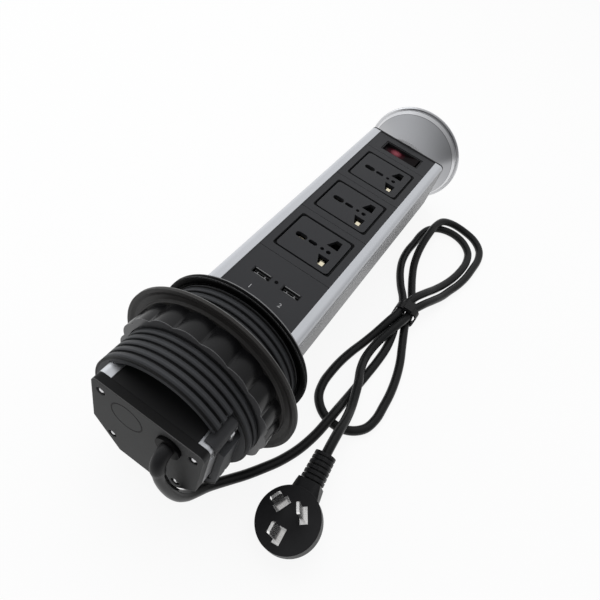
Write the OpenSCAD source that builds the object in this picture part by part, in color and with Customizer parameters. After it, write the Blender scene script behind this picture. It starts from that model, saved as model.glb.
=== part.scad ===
// Pop up desk socket: a D-section tower with outlets, USB ports and a switch that slides in a
// threaded desk collar. It lies on its back, raised, with its cord tied in a hank beside it.
// Rigid pieces are drawn upright: x across the panel, -y out of the panel, z up the tower, z = 0 at
// the desk top. lying() then lays them down on the washer's and the cap's rims.

/* [Tower] */
// Width across the two rails
tower_w = 65; // [62:0.5:68]
// From the tower's axis to the front of the rails
tower_front = 25.4; // [24:0.2:27]
// From the axis to where the side walls turn in
side_back = 13; // [12:0.5:17]
// Width of the flat back
back_w = 31; // [27:0.5:35]
// From the axis to the flat back
tower_back = 33.2; // [32:0.2:35]
// Radius of the front corners
corner_r = 3.5; // [2.5:0.5:5]
// Wall of the extrusion
wall = 2; // [1.6:0.1:2.4]
// Width of each front rail
rail_w = 7.4; // [6.8:0.1:8]
// Thickness of the ledge behind the panel plates
ledge_t = 2; // [1.4:0.1:2.6]
// Width of the ledge
ledge_w = 3.1; // [2.5:0.1:3.5]
// Outer radius of a screw port
port_r = 3.2; // [2.8:0.1:3.6]
// Radius of the hole in a screw port
port_hole_r = 1.4; // [1.2:0.1:1.8]
// How far the raised tower reaches below the sleeve
tower_out = 6.6; // [5:0.2:10]
// Width of the line along each side
side_groove_w = 1.2; // [0.8:0.1:1.6]
// Depth of the line along each side
side_groove_d = 0.8; // [0.4:0.1:1]
// Thickness of the plate on top of the extrusion
top_t = 1.6; // [1.4:0.1:2.4]
// Thickness of the foot plate
foot_t = 5; // [4:0.5:7]

/* [Panel] */
// Thickness of the panel plates
panel_t = 3; // [2.4:0.1:3.4]
// Step from the rails back to the panel
panel_step = 0.4; // [0.2:0.1:1]
// Gap between two plates
plate_gap = 0.3; // [0.2:0.1:0.6]
// Gap between a plate and a rail
plate_side_gap = 0.1; // [0.1:0.05:0.3]
// Height of the plate with the USB ports above the desk top
usb_above = 55.2; // [53:0.1:59]
// Pitch of the outlets
socket_pitch = 48.65; // [46:0.05:54]
// Length of the plate with the switch
switch_len = 24.9; // [23:0.1:30]

/* [Outlets] */
// Width of the plate beside an outlet face
insert_side = 6.5; // [6.3:0.1:7]
// Height of an outlet face
insert_h = 33.6; // [32.6:0.2:36]
// Corner radius of an outlet face
insert_corner = 2.5; // [2:0.1:4]
// Gap around an outlet face
insert_groove = 1.2; // [0.6:0.1:1.4]
// Thickness of an outlet face
insert_face = 2.6; // [2:0.1:2.8]
// Depth of an outlet from its face to the end of its skirt
insert_depth = 16; // [14:0.5:18]
// Wall of an outlet's skirt
insert_wall = 1.6; // [1.2:0.1:2]
// How far an outlet's flange reaches behind its plate
flange_lap = 1.8; // [1.2:0.1:2]
// Thickness of the flange
flange_t = 1.6; // [1.2:0.1:2]
// Centre of the long earth slot
earth_slot_x = -9.7; // [-10.5:0.1:-9]
// Length of the long earth slot
earth_slot_l = 8.2; // [7.6:0.1:8.8]
// Width of the long earth slot
earth_slot_w = 4.6; // [4:0.1:5]
// Centre of the short slot
mid_slot_x = -1.3; // [-2:0.1:-0.6]
// Length of the short slot
mid_slot_l = 6.2; // [5.4:0.1:6.6]
// Width of the short slot
mid_slot_w = 3; // [2.6:0.1:3.4]
// Centre of the small round hole
small_hole_x = 5.6; // [5:0.1:6]
// Radius of the small round hole
small_hole_r = 1.3; // [1:0.1:1.5]
// Centre of the larger round hole
large_hole_x = 10.2; // [9.6:0.1:10.8]
// Radius of the larger round hole
large_hole_r = 1.6; // [1.3:0.1:1.8]
// Inner end of a live or neutral hole, from the outlet's middle
wedge_near = 5; // [4.4:0.1:5.6]
// Outer end of a live or neutral hole, from the outlet's middle
wedge_far = 13; // [12:0.1:13.6]
// Width of a live or neutral hole at its inner end
wedge_wide = 8; // [7:0.1:8.6]
// Width of a live or neutral hole at its outer end
wedge_narrow = 4; // [3.4:0.1:5]

/* [Contacts] */
// Thickness of the contact strips
strip_t = 1; // [0.8:0.1:1.4]
// Width of the contact strips
strip_w = 5; // [4:0.2:5.4]
// Middle of the live strip
live_x = 15.5; // [15:0.1:16]
// Middle of the neutral strip
neutral_x = 4; // [3:0.1:4.6]
// Middle of the earth strip
earth_x = -11; // [-12:0.1:-10]
// Thickness of a contact leaf
leaf_t = 0.8; // [0.6:0.1:1]
// Space between the two leaves of a contact
leaf_gap = 3; // [2.4:0.1:3.4]
// Space between the leaves and the outlet face
leaf_clear = 0.9; // [0.6:0.1:2]
// Radius of the inner wires
wire_r = 1; // [0.8:0.1:1.2]

/* [USB] */
// Width of a USB opening
usb_w = 12.4; // [12.2:0.1:13.4]
// Height of a USB opening
usb_h = 5; // [4.8:0.1:6]
// From the middle of the panel to a USB opening
usb_x = 10.1; // [9.6:0.1:11]
// Height of the USB openings above the desk top
usb_up = 36.1; // [34:0.1:38]
// Gap around a receptacle in its opening
usb_gap = 0.1; // [0.05:0.05:0.2]
// Wall of a receptacle's shell
usb_wall = 0.4; // [0.3:0.1:0.6]
// Depth of a receptacle
usb_depth = 13.2; // [12.5:0.1:15]
// Thickness of a receptacle's tongue
tongue_t = 1.7; // [1.4:0.1:1.9]
// Radius of the indicator lamp
lamp_r = 1.1; // [0.9:0.1:1.5]
// Lamp to the left of the middle
lamp_x = -0.4; // [-1:0.1:1]
// Lamp above the middle of the USB openings
lamp_up = 0.7; // [0:0.1:2]
// Width of the charger board
board_w = 40; // [38:0.5:42]
// Height of the charger board
board_h = 34; // [30:0.5:36]
// Thickness of the charger board
board_t = 1.6; // [1.2:0.2:2]

/* [Switch] */
// Width of the switch window
window_w = 32; // [31:0.2:34]
// Height of the switch window
window_h = 13.6; // [13:0.2:15]
// Middle of the window to the right of the panel's middle
switch_x = 0.75; // [0:0.05:1]
// Wall of the switch frame
switch_wall = 1.1; // [0.9:0.1:1.3]
// Depth of the switch behind the panel
switch_depth = 16; // [15:0.5:20]
// Radius of the rocker's pivot pins
pivot_r = 1.2; // [1:0.1:1.4]
// Running gap of the pivot
pivot_gap = 0.05; // [0.03:0.01:0.08]
// Tilt of the rocker to each side
rocker_tilt = 5; // [3:0.5:6]

/* [Cap] */
// Radius of the cap's neck
neck_r = 28; // [25.5:0.1:28.4]
// Height of the straight neck
neck_h = 1.2; // [0.8:0.2:3]
// Radius of the flare at its top
flare_top_r = 38; // [36.5:0.1:39.5]
// Height of the flare
flare_h = 31.2; // [29:0.2:31.6]
// Wall of the cap
cap_wall = 2.5; // [2:0.1:3]
// How far the rim reaches past the flare
rim_over = 2.3; // [1.8:0.1:3]
// Height of the rim
rim_h = 2.3; // [1.8:0.1:3]
// Rise of the domed top
dome_h = 2.7; // [1.5:0.1:4]

/* [Collar] */
// Gap between the tower or the cap and the collar's bore
collar_gap = 0.75; // [0.6:0.05:1]
// Gap between the tower's corners and their grooves in the bore
corner_gap = 0.4; // [0.3:0.05:0.6]
// Least wall of the sleeve
sleeve_wall = 1.1; // [1:0.05:1.6]
// Depth of the thread
thread_d = 1.2; // [0.8:0.1:1.6]
// Pitch of the thread
thread_pitch = 4.375; // [3.5:0.125:5]
// Width of the thread's groove
thread_gap = 1.4; // [1:0.1:2]
// Length of the sleeve under the desk top
sleeve_len = 58.4; // [56:0.2:61]
// Length of the plain spigot under the bezel
spigot_h = 5; // [4:0.5:8]
// Height of the bezel above the desk top
bezel_h = 4; // [3.4:0.2:6]
// How far the bezel reaches past the thread
bezel_over = 5.2; // [3.6:0.1:8]
// Rounding of the bezel's edge
bezel_edge = 2.4; // [1.2:0.2:3]
// Depth of the sleeve's seat in the bezel
bezel_seat = 0.8; // [0.5:0.1:1.2]
// Gap between the cap's rim and the bezel
rim_gap = 0.5; // [0.3:0.1:0.8]
// How far the washer reaches past the thread
washer_over = 12.8; // [10:0.1:14]
// Thickness of the washer's edge
washer_t = 2; // [1.6:0.1:3]
// Space between the desk top's level and the washer
washer_drop = 20; // [16:0.5:24]
// Height of the nut
nut_h = 13.1; // [10:0.1:15]
// Number of ribs on the nut
nut_ribs = 18; // [12:2:24]
// Width of a rib
rib_w = 13; // [10:0.5:14]
// Height of a rib
rib_d = 1.8; // [1.2:0.1:2.6]
// Gap between the nut or the washer and the thread
nut_gap = 0.3; // [0.25:0.05:0.5]
// Height of the slot in the sleeve's side
slot_h = 12.9; // [12:0.1:14]
// Width of the slot in the sleeve's side
slot_w = 17.5; // [12:0.5:19]

/* [Detent] */
// Width of the spring leaf
detent_w = 6.4; // [5:0.1:7]
// Thickness of the spring leaf
detent_t = 0.8; // [0.6:0.1:1]
// Angle at which the leaf stands out
detent_rise = 7.5; // [6:0.5:8]
// Radius of the leaf's nose
detent_nose = 1.6; // [1.2:0.1:2]

/* [Cord and plug] */
// Diameter of the cord
cord_d = 6.2; // [5.6:0.1:6.3]
// Radius of the moulded elbow
elbow_r = 3.8; // [3.6:0.1:4.4]
// Radius of the ring around the elbow
gland_r = 7; // [6.6:0.1:8]
// Thickness of the ring
gland_t = 2; // [1.5:0.1:3]
// Radius of the plug
plug_r = 18.5; // [18:0.1:19.4]
// Thickness of the plug
plug_t = 15; // [13:0.1:15]
// Rounding of the plug's back
plug_round = 9; // [8:0.5:12]
// Width of the plug's blades
blade_w = 6.35; // [6:0.05:6.6]
// Thickness of the plug's blades
blade_t = 1.6; // [1.4:0.05:1.8]
// Length of the live and neutral blades
blade_l = 17.3; // [16:0.1:18]
// Length of the earth blade
earth_l = 20; // [19:0.1:21]
// Length of the ribbed boot
boot_l = 18; // [16:0.5:20]
// Ribs on the boot
boot_ribs = 6; // [4:1:8]

/* [Hidden] */
$fn = 96;
small_fn = 40;
sockets = 3;

// Levels up the tower
tower_base = -sleeve_len - tower_out;
usb_top = usb_above;
switch_base = usb_top + sockets * socket_pitch;
panel_top = switch_base + switch_len;
cap_base = panel_top + top_t;
neck_top = cap_base + neck_h;
flare_top = neck_top + flare_h;
step_h = 1;
rim_base = flare_top + step_h;
rim_top = rim_base + rim_h;
foot_base = tower_base - foot_t;
function socket_up(i) = usb_top + socket_pitch * (i + 0.5);

// Depths behind the panel
half_w = tower_w / 2;
panel_front = -tower_front + panel_step;
panel_rear = panel_front + panel_t;
rail_back = panel_rear + ledge_t;
plate_half = half_w - rail_w - plate_side_gap;
insert_w = 2 * (plate_half - insert_side);
skirt_back = panel_front + insert_depth;
usb_back = panel_front + usb_gap + usb_depth;

// Slanted back corners of the section: the outward direction of each slanted wall
slant = [tower_back - side_back, half_w - back_w / 2];
slant_n = slant / norm(slant);
slant_mid = [(half_w + back_w / 2) / 2, (side_back + tower_back) / 2];

// Screw ports, as centres on the right side
port_sink = 0.6;
port_side = 5.5;
front_port = [half_w - port_side, rail_back + port_r - port_sink];
back_port = slant_mid - slant_n * (wall + port_r - port_sink);
ports = [front_port, back_port, [-front_port[0], front_port[1]], [-back_port[0], back_port[1]]];

// Radii of the collar
corner_reach = norm([half_w - corner_r, tower_front - corner_r]) + corner_r;
back_reach = norm([back_w / 2, tower_back]);
side_reach = norm([half_w, side_back]);
flare_out = flare_top_r - neck_r;
flare_r = (flare_out * flare_out + flare_h * flare_h) / (2 * flare_out);
rim_r = flare_top_r + rim_over;
bore_r = max(back_reach, side_reach, flare_top_r) + collar_gap;
root_r = max(bore_r, corner_reach + corner_gap) + sleeve_wall;
crest_r = root_r + thread_d;
bezel_r = crest_r + bezel_over;
lip_r = max(rim_r + rim_gap, bore_r, corner_reach + corner_gap);
washer_r = crest_r + washer_over;
nut_r = crest_r + 3.1;
hub_r = nut_r + 2;
hub_drop = 0.5;
dish_d = 0.8;
washer_top = -washer_drop;
washer_base = washer_top - washer_t - hub_drop;
nut_seat = 0.1;
seat_gap = 0.2;
nut_top = washer_base - nut_seat;

// The tower lies on its back on the upper edges of the washer and the cap's rim
rim_edge = 0.7;
rest_top = rim_top - rim_edge;
tilt = atan((washer_r - rim_r) / (rest_top - washer_top));
lift = washer_r * cos(tilt) + washer_top * sin(tilt);
dome_r = ((rim_r - rim_edge) * (rim_r - rim_edge) + dome_h * dome_h) / (2 * dome_h);
far_y = (rim_top + dome_h - dome_r) * cos(tilt) + dome_r;
near_y = foot_base * cos(tilt) - tower_back * sin(tilt);
centre_y = -(far_y + near_y) / 2;

// Detent leaf in the right side wall
pocket_d = 1.2;
pocket_x = half_w - pocket_d;
leaf_x = pocket_x + 0.05;
leaf_y = rail_back + 2;
leaf_low = tower_base + 1;
leaf_line = tower_base + 5.5;
slot_top = slot_h - sleeve_len;
leaf_end = slot_top - 0.5;
leaf_len = leaf_end - leaf_line;
leaf_cut = detent_t / 2 + 0.05;
rivet_r = 1.05;
rivet_cut = 4;
rivet_up = leaf_low + 2.25;

// Cord exit at the foot
gland_x = 14;
gland_y = -15;
bend_r = 7;
bend_lean = 12.2;
nozzle_l = 2.5;
nozzle_r = cord_d / 2 + 0.4;
stem_gap = 0.1;
exit_up = foot_base - gland_t - bend_r;
exit_dir = [sin(bend_lean), cos(bend_lean), 0];
exit_at = [gland_x, gland_y, exit_up] + (bend_r + nozzle_l) * exit_dir;
function laid(p) = [p[0], centre_y - p[1] * sin(tilt) + p[2] * cos(tilt),
  lift - p[1] * cos(tilt) - p[2] * sin(tilt)];
function laid_dir(p) = [p[0], -p[1] * sin(tilt) + p[2] * cos(tilt), -p[1] * cos(tilt) - p[2] * sin(tilt)];

// Plug on the floor, on its rounded back: the middle of its pin face and how it leans
plug_xy = [77.7, -143.1];
plug_lean = [11.7, -20, 1.4];
plug_up = plug_turn([0, 0, 1]);
plug_tip = norm([plug_up[0], plug_up[1]]);
plug_rise = plug_up[2] * (plug_t - plug_round) + plug_tip * (plug_r - plug_round) + plug_round;
plug_at = [plug_xy[0], plug_xy[1], plug_rise];
boot_drop = 7.5;
neck_out = 24;

// Cord route on the floor, from the foot to the plug, in four passes through the tie
lead_run = [[20.1, -175.4, 49], [22.9, -173.7, 40.4], [25.6, -170.9, 32.4], [27.9, -166.4, 25.2],
  [29.8, -160.4, 19.2], [32, -153.8, 13.9], [35.3, -147, 9.2], [39.4, -140, 5.7], [44.4, -132.4, 3.8],
  [49.9, -123.6, 3.3], [56, -113, 3.3], [61.2, -101, 4.6], [64.6, -88.6, 7.4], [66.3, -76.5, 9.9],
  [67.2, -67, 9.8], [68.2, -55, 5.8], [69.2, -43.5, 3.4], [70.6, -28, 3.3], [71.8, -13, 3.3], [72, 2, 3.3],
  [70, 16, 3.8]];
pass_1 = [[66.4, 29, 5], [65.9, 38, 5]];
pass_2 = [[66.1, 38, 11.8], [65.1, 29, 11.8]];
pass_3 = [[74.2, 28, 5], [72.8, 38, 5]];
pass_4 = [[73, 38, 11.8], [72, 29, 11.8]];
inner_up = [[61.8, 50, 4.3], [54.6, 61.5, 3.3], [48.4, 73.2, 3.3], [44.5, 85.2, 3.3], [43.1, 98.2, 3.3],
  [43.7, 111, 3.3]];
inner_down = [[88.4, 113, 3.3], [86.4, 100.2, 3.3], [82.8, 87.4, 3.8], [78.4, 74.9, 5.8], [73.8, 62.6, 9.4],
  [69.2, 50.2, 11.7]];
low_down = [[62.6, 18, 10], [59.6, 6, 5.8], [56.4, -6, 3.5], [53.2, -18, 3.3], [50.9, -30, 3.3],
  [49.8, -41.5, 3.3]];
low_up = [[91.4, -41, 3.3], [90.8, -28.8, 3.3], [88.8, -15.5, 3.3], [85.4, -2, 3.3], [80.6, 11, 3.6]];
outer_up = [[69.6, 50, 4.4], [64.2, 62.6, 3.4], [58.6, 75.2, 3.7], [54, 87.6, 4.8], [51.2, 100.2, 6.8],
  [50, 112, 9.1], [49.8, 123.5, 10.3]];
outer_down = [[95.7, 121.5, 3.3], [94.8, 108.5, 3.3], [92.5, 96, 3.3], [89, 84, 3.9], [85.9, 72.5, 5.6],
  [81.7, 60.7, 8.8], [77.2, 49.4, 11.3]];
tail_run = [[69.3, 17.5, 11.2], [66.1, 6, 9], [63.9, -6, 6.3], [63.6, -18, 5.6], [65.4, -29.5, 8],
  [68.9, -40.5, 10.4], [72, -51.5, 10.6], [74.1, -62, 12.4], [75, -72.6, 16.6], [75.1, -83.6, 19.9]];
// Half-round ends of the three loops: middle, radius, heights of the seven points
function bight(c, r, dir, z) = [for (k = [0:6]) [c[0] - r * cos(30 * k), c[1] + dir * r * sin(30 * k), z[k]]];
flat_z = [for (k = [0:6]) 3.3];
over_z = [10.4, 9.8, 6.4, 3.7, 3.3, 3.3, 3.3];
inner_mid = [66.4, 124.6];
inner_bend = 22.2;
low_mid = [70.6, -51.8];
low_bend = 20.8;
outer_mid = [73, 134.4];
outer_bend = 22.9;
inner_end = bight(inner_mid, inner_bend, 1, flat_z);
low_end = bight(low_mid, low_bend, -1, flat_z);
outer_end = bight(outer_mid, outer_bend, 1, over_z);

function unit(v) = v / norm(v);
function turn_x(p, a) = [p[0], p[1] * cos(a) - p[2] * sin(a), p[1] * sin(a) + p[2] * cos(a)];
function turn_y(p, a) = [p[0] * cos(a) + p[2] * sin(a), p[1], p[2] * cos(a) - p[0] * sin(a)];
function turn_z(p, a) = [p[0] * cos(a) - p[1] * sin(a), p[0] * sin(a) + p[1] * cos(a), p[2]];
function plug_turn(p) = turn_z(turn_y(turn_x(p, plug_lean[0]), plug_lean[1]), plug_lean[2]);
boot_tip = plug_at + plug_turn([0, neck_out + boot_l, -boot_drop]);
boot_dir = plug_turn([0, 1, 0]);
cord_exit = laid(exit_at);
lead_pts = concat([cord_exit, cord_exit + cord_d * laid_dir(exit_dir)], lead_run, [pass_1[0]]);
hank_pts = concat([pass_1[1]], inner_up, inner_end, inner_down, pass_2, low_down, low_end, low_up,
  pass_3, outer_up, outer_end, outer_down, [pass_4[0]]);
tail_pts = concat([pass_4[1]], tail_run, [boot_tip + cord_d * boot_dir, boot_tip]);
route = concat(lead_pts, hank_pts, tail_pts);

// Smooth curve through the route's points, n steps from each point to the next
function bend(a, b, c, d, t) = 0.5 * (2 * b + (c - a) * t + (2 * a - 5 * b + 4 * c - d) * t * t
  + (3 * b - a - 3 * c + d) * t * t * t);
function curve(p, n) = concat([for (i = [0:len(p) - 2], k = [0:n - 1])
  bend(p[max(i - 1, 0)], p[i], p[i + 1], p[min(i + 2, len(p) - 1)], k / n)], [p[len(p) - 1]]);
function heading(s, i) = unit(s[min(i + 1, len(s) - 1)] - s[max(i - 1, 0)]);
function headings(s) = [for (i = [0:len(s) - 1]) heading(s, i)];
function across(u, t) = unit(u - (u * t) * t);
function sideways(s, u0) = [for (i = 0, u = across(u0, heading(s, 0)); i < len(s); i = i + 1,
  u = i < len(s) ? across(u, heading(s, i)) : u) u];
steps = 2;
cord_line = curve(route, steps);
cord_head = headings(cord_line);
cord_side = sideways(cord_line, [1, 0, 0]);
lead_last = (len(lead_pts) - 1) * steps;
hank_last = (len(lead_pts) + len(hank_pts) - 1) * steps;
cord_last = len(cord_line) - 1;

// Least gap of the cord to itself, measured on points along it
fine_line = curve(route, 6);
apart = 24;
gaps = [for (i = [0:len(fine_line) - 1], j = [i + apart:1:len(fine_line) - 1])
  if (abs(fine_line[i][0] - fine_line[j][0]) < 12 && abs(fine_line[i][1] - fine_line[j][1]) < 12)
  norm(fine_line[i] - fine_line[j]) - cord_d];
function run_length(s) = [for (i = 0, l = 0; i < len(s); i = i + 1,
  l = i < len(s) ? l + norm(s[i] - s[i - 1]) : l) l];
lengths = run_length(fine_line);
echo(cord_length = lengths[len(lengths) - 1], least_gap = min(gaps));
echo(tilt = tilt, lift = lift, centre_y = centre_y, crest_r = crest_r, washer_r = washer_r, bore_r = bore_r);
echo(panel_top = panel_top, rim_base = rim_base, cord_exit = cord_exit, boot_tip = boot_tip);

// Tube of round section along points s with headings t and side directions u
module tube(s, t, u, r, sides) {
  n = len(s);
  pts = [for (i = [0:n - 1], k = [0:sides - 1])
    s[i] + r * (cos(360 * k / sides) * u[i] + sin(360 * k / sides) * cross(t[i], u[i]))];
  skin = [for (i = [0:n - 2], k = [0:sides - 1], h = [0:1])
    let (a = i * sides + k, b = i * sides + (k + 1) % sides)
    h == 0 ? [a, a + sides, b] : [b, a + sides, b + sides]];
  caps = [for (k = [1:sides - 2], e = [0:1])
    e == 0 ? [0, k, k + 1] : [(n - 1) * sides, (n - 1) * sides + k + 1, (n - 1) * sides + k]];
  polyhedron(points = pts, faces = concat(skin, caps), convexity = 10);
}
function part_of(s, a, b) = [for (i = [a:b]) s[i]];

// Lays the upright tower on its back
module lying() {
  translate([0, centre_y, lift]) rotate([-90 - tilt, 0, 0]) children();
}
// A sheet of depth t behind y0, drawn as seen on the panel
module upright(y0, t) {
  translate([0, y0 + t, 0]) rotate([90, 0, 0]) linear_extrude(t) children();
}
module along_y(x, y0, up, len, r) {
  translate([x, y0, up]) rotate([-90, 0, 0]) cylinder(h = len, r = r, $fn = small_fn);
}
module block(x0, x1, y0, y1, z0, z1) {
  translate([x0, y0, z0]) cube([x1 - x0, y1 - y0, z1 - z0]);
}
module round_rect(w, h, r) {
  square([w, h - 2 * r], center = true);
  square([w - 2 * r, h], center = true);
  for (x = [-1, 1], y = [-1, 1])
    translate([x * (w / 2 - r), y * (h / 2 - r)]) circle(r, $fn = small_fn);
}
module slot_shape(x, l, w) {
  translate([x, 0]) {
    square([l - w, w], center = true);
    for (s = [-1, 1]) translate([s * (l - w) / 2, 0]) circle(w / 2, $fn = small_fn);
  }
}

// Outline of the tower, grown by g
module tower_outline(g = 0) {
  side_y = side_back + g * tan(acos(slant_n[0]) / 2);
  back_x = back_w / 2 + g * (1 - slant_n[1]) / slant_n[0];
  front_x = half_w - corner_r;
  front_y = -tower_front + corner_r;
  polygon([[-half_w - g, front_y], [-front_x, -tower_front - g], [front_x, -tower_front - g],
    [half_w + g, front_y], [half_w + g, side_y], [back_x, tower_back + g], [-back_x, tower_back + g],
    [-half_w - g, side_y]]);
  for (s = [-1, 1]) translate([s * front_x, front_y]) circle(corner_r + g);
}
module port_holes(r) {
  for (p = ports) translate(p) circle(r, $fn = small_fn);
}

// Section of the extrusion: hollow, with a slot for the plates, ledges, ports and side lines
module tower_section() {
  slot_half = half_w - rail_w;
  ledge_half = slot_half - ledge_w;
  web = 2;
  difference() {
    union() {
      difference() {
        tower_outline();
        intersection() {
          tower_outline(-wall);
          translate([-tower_w, rail_back]) square([2 * tower_w, 2 * tower_w]);
        }
      }
      for (p = ports) translate(p) circle(port_r, $fn = small_fn);
      for (s = [-1, 1])
        translate([s > 0 ? front_port[0] : -half_w + wall / 2, front_port[1] - web / 2])
          square([port_side - wall / 2, web]);
    }
    translate([-slot_half, -tower_front - 1]) square([2 * slot_half, 1 + panel_step + panel_t]);
    translate([-ledge_half, panel_rear - 0.5]) square([2 * ledge_half, ledge_t + 1]);
    port_holes(port_hole_r);
    for (s = [-1, 1])
      translate([s * half_w, rail_back + 0.5]) square([2 * side_groove_d, side_groove_w], center = true);
  }
}
module tower_shell() {
  color("silver") difference() {
    translate([0, 0, tower_base]) linear_extrude(panel_top - tower_base) tower_section();
    block(pocket_x, half_w + 1, leaf_y - detent_w / 2 - 0.3, leaf_y + detent_w / 2 + 0.3,
      leaf_low - 0.5, leaf_end + 0.3);
    rivet_hole(pocket_x - 3);
  }
}
module rivet_hole(x) {
  translate([x, leaf_y, rivet_up]) rotate([0, 90, 0])
    cylinder(h = rivet_cut, r = rivet_r + 0.05, $fn = small_fn);
}

// Screw with its head's top at the origin and its shank down
module screw(head_r, head_h, shank_r, l) {
  difference() {
    union() {
      translate([0, 0, -head_h]) cylinder(h = head_h, r = head_r, $fn = small_fn);
      translate([0, 0, -head_h - l]) cylinder(h = l, r = shank_r, $fn = small_fn);
    }
    for (a = [0, 90]) rotate(a) translate([-head_r * 0.6, -0.3, -0.5]) cube([head_r * 1.2, 0.6, 1]);
  }
}
screw_head_r = 2.7;
screw_slack = 0.1;
screw_bite = 0.05;
top_head_h = 0.9;
foot_head_h = 1.8;
foot_sink = 1.2;
top_screw_l = 10;
foot_screw_l = 14;
cap_head_r = 3;
cap_head_h = 2;
cap_screw_l = 6;
cap_screw_x = neck_r - 6;
cap_shank_r = 1.5;
boss_r = 4;
boss_top = 8;
module top_plate() {
  color("dimgray") difference() {
    translate([0, 0, panel_top]) linear_extrude(top_t) tower_outline();
    translate([0, 0, panel_top - 1]) linear_extrude(top_t + 2) port_holes(port_hole_r + screw_slack);
    translate([0, 0, cap_base - top_head_h]) linear_extrude(top_t) port_holes(screw_head_r + screw_slack);
    for (s = [-1, 1]) translate([s * cap_screw_x, 0, panel_top - 1])
      cylinder(h = top_t + 2, r = cap_shank_r + screw_slack, $fn = small_fn);
  }
}
module top_screws() {
  color("gainsboro") for (p = ports)
    translate([p[0], p[1], cap_base]) screw(screw_head_r, top_head_h, port_hole_r - screw_bite, top_screw_l);
}
module cap_screws() {
  color("gainsboro") for (s = [-1, 1])
    translate([s * cap_screw_x, 0, panel_top - cap_head_h]) rotate([180, 0, 0])
      screw(cap_head_r, cap_head_h, cap_shank_r, top_t + cap_screw_l);
}
module foot_screws() {
  color("gainsboro") for (p = ports)
    translate([p[0], p[1], foot_base + foot_sink]) rotate([180, 0, 0])
      screw(screw_head_r, foot_head_h, port_hole_r - screw_bite, foot_screw_l);
}

// Flared cap: hollow, open below, with two screw bosses in its neck
module cap_outer() {
  square_from(0, neck_r, cap_base, neck_top);
  difference() {
    square_from(0, flare_top_r, neck_top, flare_top);
    translate([neck_r + flare_r, neck_top]) circle(flare_r, $fn = 180);
  }
  square_from(0, flare_top_r, flare_top, rim_base);
  polygon([[0, rim_base], [rim_r - rim_edge, rim_base], [rim_r, rim_base + rim_edge],
    [rim_r, rim_top - rim_edge], [rim_r - rim_edge, rim_top], [0, rim_top]]);
  intersection() {
    translate([0, rim_top + dome_h - dome_r]) circle(dome_r, $fn = 360);
    square_from(0, rim_r - rim_edge, rim_top - 0.2, rim_top + dome_h);
  }
}
module square_from(r0, r1, z0, z1) {
  translate([r0, z0]) square([r1 - r0, z1 - z0]);
}
module cap() {
  inner_r = neck_r - cap_wall;
  color("lightgray") difference() {
    union() {
      rotate_extrude() difference() {
        cap_outer();
        square_from(0, inner_r, cap_base - 1, neck_top);
        difference() {
          square_from(0, flare_top_r - cap_wall, neck_top - 0.1, rim_top - cap_wall);
          translate([neck_r + flare_r, neck_top]) circle(flare_r + cap_wall, $fn = 180);
        }
      }
      for (s = [-1, 1]) translate([s * cap_screw_x, 0, cap_base]) cylinder(h = boss_top, r = boss_r);
    }
    for (s = [-1, 1]) translate([s * cap_screw_x, 0, cap_base - 1])
      cylinder(h = boss_top, r = cap_shank_r + screw_bite, $fn = small_fn);
  }
}

// Panel plates
module plate(z0, z1) {
  translate([-plate_half, z0]) square([2 * plate_half, z1 - z0]);
}
module socket_plate(i) {
  mid = socket_up(i);
  color([0.22, 0.22, 0.24]) upright(panel_front, panel_t) difference() {
    plate(mid - (socket_pitch - plate_gap) / 2, mid + (socket_pitch - plate_gap) / 2);
    translate([0, mid]) round_rect(insert_w + 2 * insert_groove, insert_h + 2 * insert_groove,
      insert_corner + insert_groove);
  }
}
module socket_plate_1() socket_plate(0);
module socket_plate_2() socket_plate(1);
module socket_plate_3() socket_plate(2);

// Pin holes of an outlet: slots, round holes and two tapered holes
wedge_x = 10;
wedge_lean = 1.5;
module pin_holes() {
  slot_shape(earth_slot_x, earth_slot_l, earth_slot_w);
  slot_shape(mid_slot_x, mid_slot_l, mid_slot_w);
  translate([small_hole_x, 0]) circle(small_hole_r, $fn = small_fn);
  translate([large_hole_x, 0]) circle(large_hole_r, $fn = small_fn);
  for (s = [-1, 1])
    polygon([[wedge_x - wedge_wide / 2, s * wedge_near], [wedge_x + wedge_wide / 2, s * wedge_near],
      [wedge_x + wedge_lean + wedge_narrow / 2, s * wedge_far],
      [wedge_x + wedge_lean - wedge_narrow / 2, s * wedge_far]]);
}
module insert_shape(g) {
  round_rect(insert_w + 2 * g, insert_h + 2 * g, max(insert_corner + g, 0.5));
}
module socket_insert(i) {
  lap = insert_groove + flange_lap;
  color([0.24, 0.24, 0.26]) translate([0, 0, socket_up(i)]) {
    upright(panel_front, insert_face) difference() {
      insert_shape(0);
      pin_holes();
    }
    upright(panel_front + insert_face, insert_depth - insert_face) difference() {
      insert_shape(0);
      insert_shape(-insert_wall);
    }
    upright(panel_rear, flange_t) difference() {
      insert_shape(lap);
      insert_shape(-insert_wall);
    }
  }
}
module socket_insert_1() socket_insert(0);
module socket_insert_2() socket_insert(1);
module socket_insert_3() socket_insert(2);

// Contact strips behind the outlets, with a pair of leaves in each outlet
strip_tail = 3;
strip_margin = insert_h / 2 + strip_tail;
grip_in = 1.5;
live_grip = 2.5;
neutral_grip = 1.5;
earth_grip = 2.5;
grip_up = (wedge_near + wedge_far) / 2;
neutral_up = wedge_near + 2.1;
live_sink = 4;
strip_low = socket_up(0) - strip_margin;
strip_high = socket_up(sockets - 1) + grip_up + leaf_gap / 2 + leaf_t;
module strip(x, top) {
  block(x - strip_w / 2, x + strip_w / 2, skirt_back, skirt_back + strip_t, strip_low, top);
}
module leaves(x0, x1, web_x, up, sink = 0) {
  half = leaf_gap / 2 + leaf_t;
  for (i = [0:sockets - 1]) translate([0, 0, socket_up(i) + up]) {
    block(min(x0, web_x), max(x1, web_x), skirt_back, skirt_back + strip_t, -half, half);
    for (z = [-half, leaf_gap / 2])
      block(x0, x1, panel_front + insert_face + leaf_clear + sink, skirt_back + strip_t, z, z + leaf_t);
  }
}
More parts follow.
